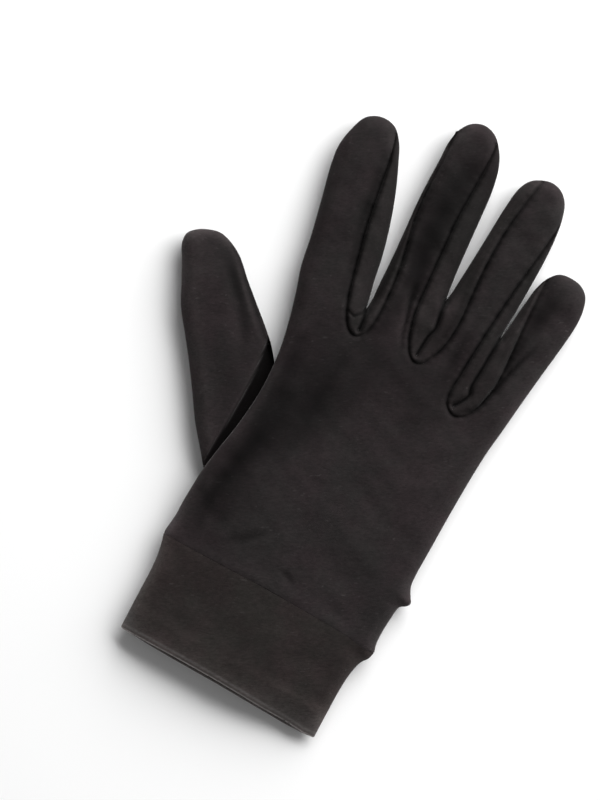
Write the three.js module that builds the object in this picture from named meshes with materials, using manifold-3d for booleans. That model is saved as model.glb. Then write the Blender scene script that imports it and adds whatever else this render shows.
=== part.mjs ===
// A light stretch running glove for the right hand, lying flat with the back of the hand up.
// Millimetres. +X runs towards the little finger, +Y from the hem to the fingertips and +Z up.
// The tables are in the hand's own frame, whose zero is the middle of the hem on the surface it lies on.
// The finished group is then moved so that the origin is the middle of the glove's footprint.

import * as THREE from "three";
import { mergeVertices } from "three/addons/utils/BufferGeometryUtils.js";
import { ParametricGeometry } from "three/addons/geometries/ParametricGeometry.js";
import Module from "manifold-3d";

const wasm = await Module();
wasm.setup();

// Cloth and seams
const JERSEY_WALL = 1.2;
const CUFF_WALL = 1.8;
const SEAM_GAP = 0.3;
const CUT_OVERRUN = 1;

// How a tube of cloth lies: what is raised over the thumb crowns too, and what rests is pressed flat
const CROWN_SHARE = 0.4;
const PRESSED = 1.08;

// Heights between which the seams of the finger walls cut
const SEAM_BLADE_LOW = -10;
const SEAM_BLADE_HIGH = 40;
const SEAM_STEPS = 30;

// The cuff seam, and the hem, whose upper edge is bowed back from the lower one
const CUFF_SEAM_Y = 41.7;
const HEM_LOWER_Y = -0.8;
const HEM_UPPER_BOW = 2.4;

// The thumb's own frame: where it crosses the edge of the hand, and how far it leans out
const THUMB_BASE = { x: -58.8, y: 114 };
const THUMB_LEAN = THREE.MathUtils.degToRad(41);

// Corners this close are one corner, and cuts leave no edge shorter than a sliver
const MERGE_DISTANCE = 1e-4;
const SLIVER = 0.02;

// The turns at which a rounded end is given a ring
const ROUNDING_ANGLES = [30, 55, 76].map(THREE.MathUtils.degToRad);

const table = (columns, rows) =>
  rows.map((row) => Object.fromEntries(columns.map((name, i) => [name, row[i]])));

// left and right are the outline seen from above, top the height of the back of the hand,
// and bed the height of what lies under the thumb side, which is the thumb.
const SECTION = ["y", "left", "right", "top", "bed"];

const PALM = table(SECTION, [
  [CUFF_SEAM_Y + SEAM_GAP / 2, -48.3, 47.4, 9.4, 0],
  [45, -48.1, 46.8, 9.8, 0],
  [50, -47.7, 46.5, 10.4, 0],
  [56, -48.1, 46.8, 10.8, 0.6],
  [61, -48, 47.3, 11, 1.6],
  [65.5, -47.9, 50.4, 11.2, 2.8],
  [70, -47.7, 48.3, 11.4, 4.2],
  [76, -47.1, 47.5, 11.6, 5.4],
  [84, -45.7, 47.5, 11.8, 6],
  [93, -44.2, 47.5, 12, 6],
  [102, -43.3, 47.5, 12.2, 6],
  [111, -43.2, 47.4, 12.3, 6],
  [120, -43.5, 47.7, 12.2, 6],
  [129, -44.5, 48.1, 11.8, 5],
  [137, -45.9, 48.8, 10.8, 4],
  [144, -47.4, 49.6, 9.4, 3.2],
  [154, -50.2, 50.7, 6, 2.2],
]);

const FINGERS = [
  {
    name: "index",
    tip: 229.3,
    radius: 12.5,
    rows: table(SECTION, [
      [124, -43.2, -23, 10, 5.6],
      [145, -47.6, -20, 10.8, 3.4],
      [157, -51.6, -20.4, 11, 2],
      [163, -53.3, -23, 11, 1.6],
      [172, -55.1, -24.8, 11, 0.8],
      [186, -58.3, -27.6, 11, 0],
      [200, -61.7, -32.2, 10.8, 0],
      [210, -63.4, -36.4, 10.6, 0],
      [217, -62.6, -39.7, 10.4, 0],
      [229.3, -62.2, -40.6, 10, 0],
    ]),
  },
  {
    name: "middle",
    tip: 246.3,
    radius: 12.3,
    rows: table(SECTION, [
      [126, -21.8, 2, 9.6, 3],
      [150, -21.4, 5.2, 11, 0.7],
      [160, -21.4, 5.3, 11.4, 0],
      [172, -22, 5.2, 11.4, 0],
      [180, -22.5, 3.8, 11.4, 0],
      [196, -23.4, 1.9, 11.2, 0],
      [212, -25.1, 0.4, 11, 0],
      [226, -26, -1.2, 10.8, 0],
      [236, -26.5, -3.7, 10.6, 0],
      [246.3, -27.2, -5.2, 10.2, 0],
    ]),
  },
  {
    name: "ring",
    tip: 239.5,
    radius: 12,
    rows: table(SECTION, [
      [124, 4.2, 27.6, 10.2, 0],
      [150, 4.2, 30.9, 11, 0],
      [172, 4.2, 31.2, 11.2, 0],
      [180, 4.9, 30.7, 11.2, 0],
      [192, 5.5, 31, 11, 0],
      [210, 6.2, 31, 10.8, 0],
      [224, 6.8, 30.3, 10.6, 0],
      [239.5, 7.8, 29.8, 10, 0],
    ]),
  },
  {
    name: "little",
    tip: 209.8,
    radius: 10,
    rows: table(SECTION, [
      [118, 29, 47, 9.8, 0],
      [144, 29.8, 49.5, 10.2, 0],
      [163, 30.1, 51.4, 10.4, 0],
      [172, 30.2, 52.5, 10.4, 0],
      [179, 31.3, 53.4, 10.4, 0],
      [188, 32.3, 54.3, 10.2, 0],
      [200, 33.5, 54.7, 10, 0],
      [209.8, 34.2, 54.6, 9.6, 0],
    ]),
  },
];

// Here y runs along the thumb from THUMB_BASE, and left and right lie across it.
const THUMB = {
  tip: 54.9,
  radius: 11.5,
  rootRadius: 7,
  rows: table(SECTION, [
    [-41, -19, 12, 8.8, 0],
    [-28, -18.6, 16, 8.8, 0],
    [-12, -17.6, 17.2, 8.8, 0],
    [4, -16.2, 16.8, 8.8, 0],
    [14, -15.8, 15.4, 8.9, 0],
    [24, -15.2, 13.7, 9.2, 0],
    [33, -13.4, 12.5, 9.6, 0],
    [43, -11.4, 11.2, 9.8, 0],
    [54.9, -11.2, 9.6, 9.4, 0],
  ]),
};

const CUFF = table(SECTION, [
  [HEM_LOWER_Y, -44.6, 43.1, 8.8, 0],
  [7, -45, 42.9, 8.9, 0],
  [16, -45.2, 42.9, 9, 0],
  [26, -45.4, 43.1, 9, 0],
  [33, -46, 44.2, 9, 0],
  [38, -47, 46.6, 9.1, 0],
  [CUFF_SEAM_Y - SEAM_GAP / 2, -48.3, 47.6, 9.3, 0],
]);

// Folds and hollows of the back of the hand: a line, the reach to each side, and how deep the cloth dips.
const FOLDS = table(["x1", "y1", "x2", "y2", "reach", "depth"], [
  [-37, 130, -36, 62, 7, 1.4],
  [-30, 130, -17, 106, 13, 1.5],
  [-25, 55, -12, 62, 5, 0.6],
  [-10, 182, -3.5, 156, 4, 1.3],
  [-19, 206, -10, 183, 6, 1.6],
  [43.5, 180, 39.3, 158, 4, 0.9],
  [-22, 162, -20, 150, 5, 2.4],
  [4.5, 180, 4.8, 153, 5, 2.4],
  [30, 178, 28.6, 143, 5, 2.2],
]);

// Each finger wall's seam, from one fingertip down round the crotch and up to the next.
const SEAMS = {
  fourchette_index_middle: table(["x", "y"], [
    [-45.8, 230.2], [-41.6, 215], [-39.9, 202], [-36.8, 186.3], [-33.5, 171], [-30, 159],
    [-25.8, 150.6], [-20.7, 147.3], [-17, 151.4], [-16.3, 162], [-17.3, 177], [-20.3, 193.5],
    [-22.7, 212], [-23.8, 228], [-26.4, 243.6],
  ]),
  fourchette_middle_ring: table(["x", "y"], [
    [-8.4, 246.6], [-7.4, 232], [-7.2, 212], [-6.5, 196], [-5.2, 178], [-2.8, 163],
    [0.4, 153.4], [4.8, 149.8], [10.4, 153], [13.6, 163], [13.9, 177], [12.3, 194],
    [12.2, 212], [13.7, 229], [15.4, 241.4],
  ]),
  fourchette_ring_little: table(["x", "y"], [
    [31.6, 228.6], [28.4, 215.4], [26.4, 198], [25, 177], [24.2, 160], [23.4, 148],
    [25.2, 141], [29, 138.8], [34.2, 142], [37.6, 149.6], [38.9, 162], [38.1, 175],
    [36.7, 191], [35.9, 203], [34.2, 209.6],
  ]),
};

const CLOTH = new THREE.Color("rgb(42, 38, 38)");
const WALL_CLOTH = new THREE.Color("rgb(36, 33, 32)");
const CUFF_CLOTH = new THREE.Color("rgb(46, 42, 41)");

const smooth = (t) => THREE.MathUtils.smoothstep(t, 0, 1);

// The row of a table at y, on a smooth curve through every column.
function rowAt(rows, y) {
  const last = rows.length - 2;
  let i = 0;
  while (i < last && y > rows[i + 1].y) i += 1;
  const [before, from, to, after] = [i - 1, i, i + 1, i + 2].map(
    (k) => rows[THREE.MathUtils.clamp(k, 0, last + 1)],
  );
  const span = to.y - from.y;
  const t = THREE.MathUtils.clamp((y - from.y) / span, 0, 1);
  const blended = { y };
  for (const name of SECTION.slice(1)) {
    const slopeFrom = (span * (to[name] - before[name])) / (to.y - before.y);
    const slopeTo = (span * (after[name] - from[name])) / (after.y - from.y);
    blended[name] =
      from[name] * (1 + t * t * (2 * t - 3)) +
      to[name] * t * t * (3 - 2 * t) +
      slopeFrom * t * (t - 1) * (t - 1) +
      slopeTo * t * t * (t - 1);
  }
  return blended;
}

// How far the back of the hand dips at a place.
function dipAt(x, y) {
  let dip = 0;
  for (const { x1, y1, x2, y2, reach, depth } of FOLDS) {
    const line = new THREE.Line3(new THREE.Vector3(x1, y1), new THREE.Vector3(x2, y2));
    const place = new THREE.Vector3(x, y);
    const distance = line.closestPointToPoint(place, true, new THREE.Vector3()).distanceTo(place);
    dip += depth * (1 - smooth(distance / reach));
  }
  return dip;
}

// The rings of a tube from its start to its tip, where each rounded end narrows them on a circle.
function stationsOf(tube, grow) {
  if (!tube.tip) {
    const ys = tube.rows.map((row) => row.y);
    const first = tube.openStart && grow < 0 ? ys[0] - CUT_OVERRUN : ys[0] - grow;
    const end = tube.openEnd && grow < 0 ? ys.at(-1) + CUT_OVERRUN : ys.at(-1) + grow;
    return [first, ...ys.slice(1, -1), end].map((y) => ({ y, round: 1 }));
  }
  const stations = [];
  const radius = tube.radius + grow;
  const tipCentre = tube.tip - tube.radius;
  const rootRadius = tube.rootRadius ? tube.rootRadius + grow : 0;
  const start = tube.rows[0].y + (tube.rootRadius ?? -grow);
  if (rootRadius) {
    for (const angle of ROUNDING_ANGLES.toReversed()) {
      stations.push({ y: start - rootRadius * Math.sin(angle), round: Math.cos(angle) });
    }
  }
  for (let k = 0; k <= tube.rings; k += 1) {
    stations.push({ y: THREE.MathUtils.lerp(start, tipCentre, k / tube.rings), round: 1 });
  }
  for (const angle of ROUNDING_ANGLES) {
    stations.push({ y: tipCentre + radius * Math.sin(angle), round: Math.cos(angle) });
  }
  return stations;
}

// A closed tube of cloth lofted through the rows, grown outwards or, with a negative value, inwards.
function tubeGeometry(tube, grow) {
  const stations = stationsOf(tube, grow);
  const around = 2 * tube.columns;
  const along = stations.length + 1;

  function place(u, v, target) {
    const ring = Math.round(v * along);
    const pole = ring === 0 || ring === along;
    const { y, round } = stations[THREE.MathUtils.clamp(ring - 1, 0, stations.length - 1)];
    const row = rowAt(tube.rows, y);
    const step = Math.round(u * around);
    const onTop = step <= tube.columns;
    const turn = (Math.PI * (onTop ? step : around - step)) / tube.columns;
    const across = pole ? 0 : -Math.cos(turn);
    const edge = pole ? 0 : Math.pow(1 - Math.pow(Math.abs(across), tube.fullness), 1 / tube.fullness);
    const half = ((row.right - row.left) / 2 + grow) * round;
    const x = (row.left + row.right) / 2 + half * across;
    const raised = tube.bedReach ? 1 - smooth((x - row.left) / tube.bedReach) : 1;
    const low = row.bed * raised;
    const high = row.top + CROWN_SHARE * row.bed * raised;
    const rise = ((high - low) / 2 + grow) * Math.sqrt(round) * edge;
    const middle = (high + low) / 2;
    const dip = tube.folded ? dipAt(x, y) * Math.min(1, 1.5 * edge) : 0;
    const z = onTop ? middle + rise - dip : Math.max(middle - PRESSED * rise, -grow);
    const bow = tube.hem && ring <= 1 && onTop ? HEM_UPPER_BOW * Math.pow(edge, 3) : 0;
    target.set(x, y + bow, z);
  }

  return new ParametricGeometry(place, around, along);
}

// A mesh whose shared corners are merged, as a solid for joining and cutting.
function solidFrom(geometry) {
  const bare = geometry.clone();
  bare.deleteAttribute("normal");
  bare.deleteAttribute("uv");
  const merged = mergeVertices(bare, MERGE_DISTANCE);
  const corners = [];
  for (let i = 0; i < merged.index.count; i += 3) {
    const [a, b, c] = merged.index.array.slice(i, i + 3);
    if (a !== b && b !== c && c !== a) corners.push(a, b, c);
  }
  return new wasm.Manifold(
    new wasm.Mesh({
      numProp: 3,
      vertProperties: merged.attributes.position.array,
      triVerts: new Uint32Array(corners),
    }),
  );
}

function meshFrom(name, solid, color) {
  const { vertProperties, triVerts } = solid.simplify(SLIVER).getMesh();
  const geometry = new THREE.BufferGeometry();
  geometry.setAttribute("position", new THREE.BufferAttribute(vertProperties, 3));
  geometry.setIndex(new THREE.BufferAttribute(triVerts, 1));
  const flat = geometry.toNonIndexed();
  flat.computeVertexNormals();
  const mesh = new THREE.Mesh(flat, new THREE.MeshStandardMaterial({ color, roughness: 0.92, metalness: 0 }));
  mesh.name = name;
  return mesh;
}

const solidTube = (tube, grow) => solidFrom(tubeGeometry(tube, grow));

// The upright block inside one finger wall's seam, with its edge moved outwards by a margin.
function seamBlock(seam, margin) {
  const line = new THREE.SplineCurve(seam.map(({ x, y }) => new THREE.Vector2(x, y)));
  const points = [];
  for (let k = 0; k <= SEAM_STEPS; k += 1) {
    const along = line.getTangentAt(k / SEAM_STEPS);
    const outwards = new THREE.Vector2(along.y, -along.x);
    points.push(line.getPointAt(k / SEAM_STEPS).addScaledVector(outwards, margin));
  }
  const block = new THREE.ExtrudeGeometry(new THREE.Shape(points), {
    depth: SEAM_BLADE_HIGH - SEAM_BLADE_LOW,
    bevelEnabled: false,
  });
  return solidFrom(block.translate(0, 0, SEAM_BLADE_LOW));
}

// The hand: a wide tube for the palm, and four finger tubes that start inside it
const palmTube = { rows: PALM, columns: 17, fullness: 5, bedReach: 44, openStart: true, folded: true };
const fingerTubes = FINGERS.map((finger) => ({
  ...finger,
  columns: 8,
  rings: 10,
  fullness: 2.6,
  folded: true,
}));
const handTubes = [palmTube, ...fingerTubes];
const handSolid = (grow) => wasm.Manifold.union(handTubes.map((tube) => solidTube(tube, grow)));
const handOuter = handSolid(0);
const handInner = handSolid(-JERSEY_WALL);

// The thumb: a tube of its own that starts under the hand and opens into it
const thumbTube = { ...THUMB, columns: 8, rings: 6, fullness: 2.8 };
function thumbSolid(grow) {
  const geometry = tubeGeometry(thumbTube, grow);
  geometry.rotateZ(THUMB_LEAN);
  geometry.translate(THUMB_BASE.x, THUMB_BASE.y, 0);
  return solidFrom(geometry);
}
const thumbInner = thumbSolid(-JERSEY_WALL);
const thumb = thumbSolid(0).subtract(thumbInner).subtract(handSolid(SEAM_GAP));

// The finger walls are cut out of the hand along their seams, and the thumb hole through its underside
const handShell = handOuter.subtract(handInner).subtract(thumbInner);
const fourchettes = Object.entries(SEAMS).map(([name, seam]) => [
  name,
  handShell.intersect(seamBlock(seam, -SEAM_GAP / 2)),
]);
const seamCuts = wasm.Manifold.union(Object.values(SEAMS).map((seam) => seamBlock(seam, SEAM_GAP / 2)));
const handPanel = handShell.subtract(seamCuts);

// The cuff: a double band of the same cloth, open at the hem and at the hand
const cuffTube = { rows: CUFF, columns: 13, fullness: 4, openStart: true, openEnd: true, hem: true };
const cuffBand = solidTube(cuffTube, 0).subtract(solidTube(cuffTube, -CUFF_WALL));

const glove = new THREE.Group();
glove.name = "glove";
glove.add(meshFrom("hand_panel", handPanel, CLOTH));
for (const [name, solid] of fourchettes) glove.add(meshFrom(name, solid, WALL_CLOTH));
glove.add(meshFrom("thumb", thumb, CLOTH));
glove.add(meshFrom("cuff_band", cuffBand, CUFF_CLOTH));

const box = new THREE.Box3().setFromObject(glove);
const centre = box.getCenter(new THREE.Vector3());
glove.position.set(-centre.x, -centre.y, -box.min.z);

const part = new THREE.Group();
part.name = "running_glove";
part.add(glove);

export default part;
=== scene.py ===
"""A stretch running glove lying flat: its cloth panels, seams, folds and finish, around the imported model."""

import math

import bmesh
import bpy
import numpy as np
from bmesh.types import BMEdge, BMFace, BMVert
from bpy.props import FloatProperty, FloatVectorProperty, PointerProperty
from bpy.types import Operator, Panel, PropertyGroup
from mathutils.kdtree import KDTree
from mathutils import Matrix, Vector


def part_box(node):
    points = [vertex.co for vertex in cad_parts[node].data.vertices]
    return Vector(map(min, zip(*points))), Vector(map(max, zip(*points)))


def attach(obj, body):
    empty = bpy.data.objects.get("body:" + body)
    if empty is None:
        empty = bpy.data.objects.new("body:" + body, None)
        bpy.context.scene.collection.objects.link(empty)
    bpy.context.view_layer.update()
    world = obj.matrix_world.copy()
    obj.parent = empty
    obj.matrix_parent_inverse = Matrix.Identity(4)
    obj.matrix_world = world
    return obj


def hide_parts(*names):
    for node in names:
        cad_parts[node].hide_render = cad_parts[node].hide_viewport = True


bl_info = {
    "name": "Running Glove",
    "version": (1, 0, 0),
    "blender": (4, 5, 0),
    "location": "View3D > Sidebar > Glove",
    "description": "Builds a sewn stretch running glove lying flat, with its cloth and its studio floor",
    "category": "Add Mesh",
}

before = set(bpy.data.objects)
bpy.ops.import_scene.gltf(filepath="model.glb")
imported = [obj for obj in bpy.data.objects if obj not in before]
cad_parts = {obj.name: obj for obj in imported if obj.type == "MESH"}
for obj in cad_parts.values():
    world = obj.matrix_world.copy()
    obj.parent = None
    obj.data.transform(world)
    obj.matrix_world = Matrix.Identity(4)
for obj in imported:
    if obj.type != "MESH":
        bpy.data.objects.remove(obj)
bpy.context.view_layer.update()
ROOT_BODY = "root"

# Tables of places are in millimetres in the hand's own frame: zero is the middle of the hem on the
# floor, x runs towards the little finger and y to the fingertips. The cuff of the model places it.
MM = 0.001
CUFF_MIDDLE_X = -0.35
CUFF_HEM_Y = -0.8
cuff_low, cuff_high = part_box("cuff_band")
HAND_ORIGIN = np.array(
    [
        (cuff_low.x + cuff_high.x) / 2 - CUFF_MIDDLE_X * MM,
        cuff_low.y - CUFF_HEM_Y * MM,
        0.0,
    ]
)

# The outline seen from above, in four runs that meet at the bottoms of the creases between fingers.
INDEX_RUN = [
    (-48.6, 41.7), (-48.6, 44), (-48, 50), (-48.1, 56.5), (-47.9, 63.3), (-47.6, 70),
    (-46.3, 80), (-44.2, 92.5), (-42.9, 105), (-42.8, 116.7), (-44.3, 130), (-47.1, 142.5),
    (-50, 152.5), (-52.9, 161.5), (-55.4, 174.1), (-59, 189.3), (-62.3, 202.7), (-63.4, 211),
    (-62.2, 219), (-59.6, 225.8), (-55.4, 228.7), (-51.3, 229.3), (-47.2, 228.2), (-42.8, 223.6),
    (-39, 216.3), (-34.1, 205.2), (-29.8, 193), (-26.5, 181), (-24.4, 170.5), (-22.6, 163),
    (-21.9, 159.5),
]
MIDDLE_RUN = [
    (-21.9, 159.5), (-21.6, 163), (-22.1, 171), (-22.8, 183), (-23.9, 196),
    (-25, 209), (-25.4, 225), (-25.6, 234), (-24.2, 240.2), (-21, 244.5), (-16.2, 246.3),
    (-10.9, 244.9), (-6.4, 240.3), (-3.2, 234.4), (-0.9, 225), (0.4, 213), (1.5, 200.8),
    (2.6, 189.5), (3.7, 181.5), (4.3, 178),
]
RING_RUN = [
    (4.3, 178), (4.8, 181.5), (5.4, 191), (6.2, 208),
    (6.8, 222), (7.9, 231), (10.4, 235.8), (14.2, 238.3), (18.4, 239.5), (22.6, 238.6),
    (26.2, 235.6), (28.7, 230), (30.3, 221), (31, 211), (31.1, 198), (30.9, 186), (30.7, 178.5),
    (30.6, 175.5),
]
LITTLE_RUN = [
    (30.6, 175.5), (31.1, 179), (31.7, 185),
    (32.4, 192), (33.4, 199.8), (35.4, 205.2), (38.7, 208.9), (43, 209.9), (48.4, 209.2),
    (52.1, 206.4), (54.1, 201.2), (54.7, 194.5), (54, 185), (52.6, 173), (51, 158.5),
    (49.6, 144), (48.4, 133), (47.8, 121), (47.5, 105), (47.5, 86), (47.5, 76.5), (48, 71.4),
    (49.9, 67.6), (51.3, 65.2), (50.2, 63.4), (48, 61.8), (47.2, 56), (46.9, 49.5),
    (47.2, 44.4), (48.1, 41.2),
]
# Below the open gaps the fingers touch along a crease, down to the crotch.
CREASES = [
    [(-21.9, 159.5), (-20.9, 155.5), (-20.3, 150.6)],
    [(4.3, 178), (4.7, 173), (5.7, 168), (6.0, 165.2), (5.0, 161.8), (4.7, 157), (4.6, 153.2)],
    [(30.6, 175.5), (30.3, 169), (30.1, 160), (29.9, 152.5), (30.7, 149), (29.4, 145.6), (27.4, 142.6)],
]
CUFF_LEFT = [(-48.6, 41.7), (-47.7, 38.6), (-46.5, 33), (-45.9, 26), (-45.7, 16), (-45.4, 6), (-45.2, -0.6)]
CUFF_RIGHT = [(48.1, 41.2), (47.3, 37.9), (45.4, 35.2), (44, 30), (43.3, 22), (43.4, 12), (43.7, -0.6)]

# The seams of the finger walls, from one fingertip down round the crotch and up to the next.
WALL_SEAMS = {
    "index_middle": [
        (-45.8, 226.4), (-43, 216), (-40.6, 203), (-38.1, 189), (-34.6, 175), (-31, 161.5),
        (-27.4, 152.6), (-24, 148.4), (-20.6, 147.3), (-17.7, 150), (-16.4, 156.5), (-16.5, 166),
        (-17.8, 178.5), (-20.3, 190.5), (-22.6, 201.5), (-23.7, 214), (-24.1, 226), (-25.3, 239.4),
    ],
    "middle_ring": [
        (-8.8, 242.6), (-8.1, 235), (-7.9, 222), (-7.8, 208), (-6.7, 195), (-5.5, 180),
        (-4.1, 167), (-1.2, 157), (1.8, 151.8), (4.9, 149.8), (8, 150.6), (10.6, 155.2),
        (12.8, 162.3), (13.4, 172), (12.5, 184), (11.6, 197), (11.6, 212), (13, 226), (15, 238.7),
    ],
    "ring_little": [
        (29.5, 226), (28.3, 216), (26.7, 201), (25.4, 186), (24.3, 169), (23.7, 154),
        (23.4, 146.5), (24.8, 141.4), (28.9, 138.8), (33, 140.5), (35.8, 145), (37.5, 152.4),
        (38.3, 161.5), (37.5, 172.5), (36.4, 186), (35.8, 198), (35.6, 206.2),
    ],
}
CUFF_SEAM = [(-48.6, 41.7), (-30, 41.8), (-5, 42.3), (20, 42.1), (36, 41.5), (43, 40.5), (48.1, 41.2)]

# The thumb: its edge in the open, and the rest of it under the hand
THUMB_RUN = [
    (-47.4, 72), (-53.2, 79), (-59.5, 86.6), (-66, 96), (-73, 105.8), (-80.2, 115.2),
    (-86.8, 123.8), (-91.4, 132.4), (-95.8, 140.6), (-98.9, 146.2), (-99.2, 150.6), (-96.6, 153.8),
    (-92.4, 156.2), (-87.6, 157.4), (-83, 156.5), (-76.5, 153.2), (-68.9, 146.4), (-60.8, 139.5),
    (-53.4, 133.3), (-47, 127.2), (-40, 118), (-33.4, 108), (-30.6, 96), (-32.4, 84), (-38, 74.6),
    (-43.6, 70.6), (-47.4, 72),
]
THUMB_SEAM = [
    (-80.4, 154.6), (-76, 151.9), (-68.9, 145.2), (-60.6, 137.9), (-52.9, 130.9), (-46.5, 124.8),
    (-40, 116.4),
]

# How high the thumb lifts the hand, as a share of the full lift, along the hand
LIFT_ROWS = [
    (46, 0), (56, 0.12), (66, 0.5), (76, 0.9), (86, 1), (118, 1), (130, 0.8), (144, 0.5), (162, 0.25),
    (184, 0),
]

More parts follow.
